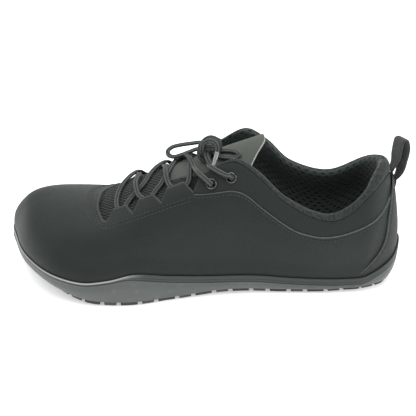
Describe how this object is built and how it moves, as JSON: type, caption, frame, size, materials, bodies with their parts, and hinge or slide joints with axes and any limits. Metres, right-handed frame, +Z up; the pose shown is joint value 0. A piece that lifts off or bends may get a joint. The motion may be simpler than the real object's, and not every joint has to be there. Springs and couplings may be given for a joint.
{
  "type": "minimalist lace-up sneaker",
  "caption": "Low lace-up sneaker with a wide round toe, smooth leather upper, padded collar, lace tabs with eyelets above, a heel pull loop and a thin lugged cup sole that rises at heel and ball.",
  "frame": {"origin": "on the floor, on the middle tread block under the heel seat, 38 mm in front of the back of the heel", "axes": "+X along the foot towards the toe, +Y towards the outer side of the left foot, +Z up"},
  "size_m": [0.285, 0.1063, 0.1026],
  "materials": {
    "sole_rubber": "satin",
    "upper_leather": "matte",
    "lining_fabric": "matte",
    "tongue_knit": "matte",
    "webbing": "matte",
    "lace": "matte",
    "eyelet_metal": "satin"
  },
  "bodies": {
    "root": {"outsole": "sole_rubber", "insole": "lining_fabric", "upper": "upper_leather", "heel_counter": "upper_leather", "tongue": "tongue_knit", "pull_loop": "webbing", "eyelet_outer_1": "eyelet_metal", "eyelet_outer_2": "eyelet_metal", "eyelet_inner_1": "eyelet_metal", "eyelet_inner_2": "eyelet_metal", "lace_crossings": "lace", "lace_knot": "lace", "lace_loop_front": "lace", "lace_loop_back": "lace", "lace_end_outer": "lace", "lace_end_inner": "lace"}
  },
  "joints": []
}
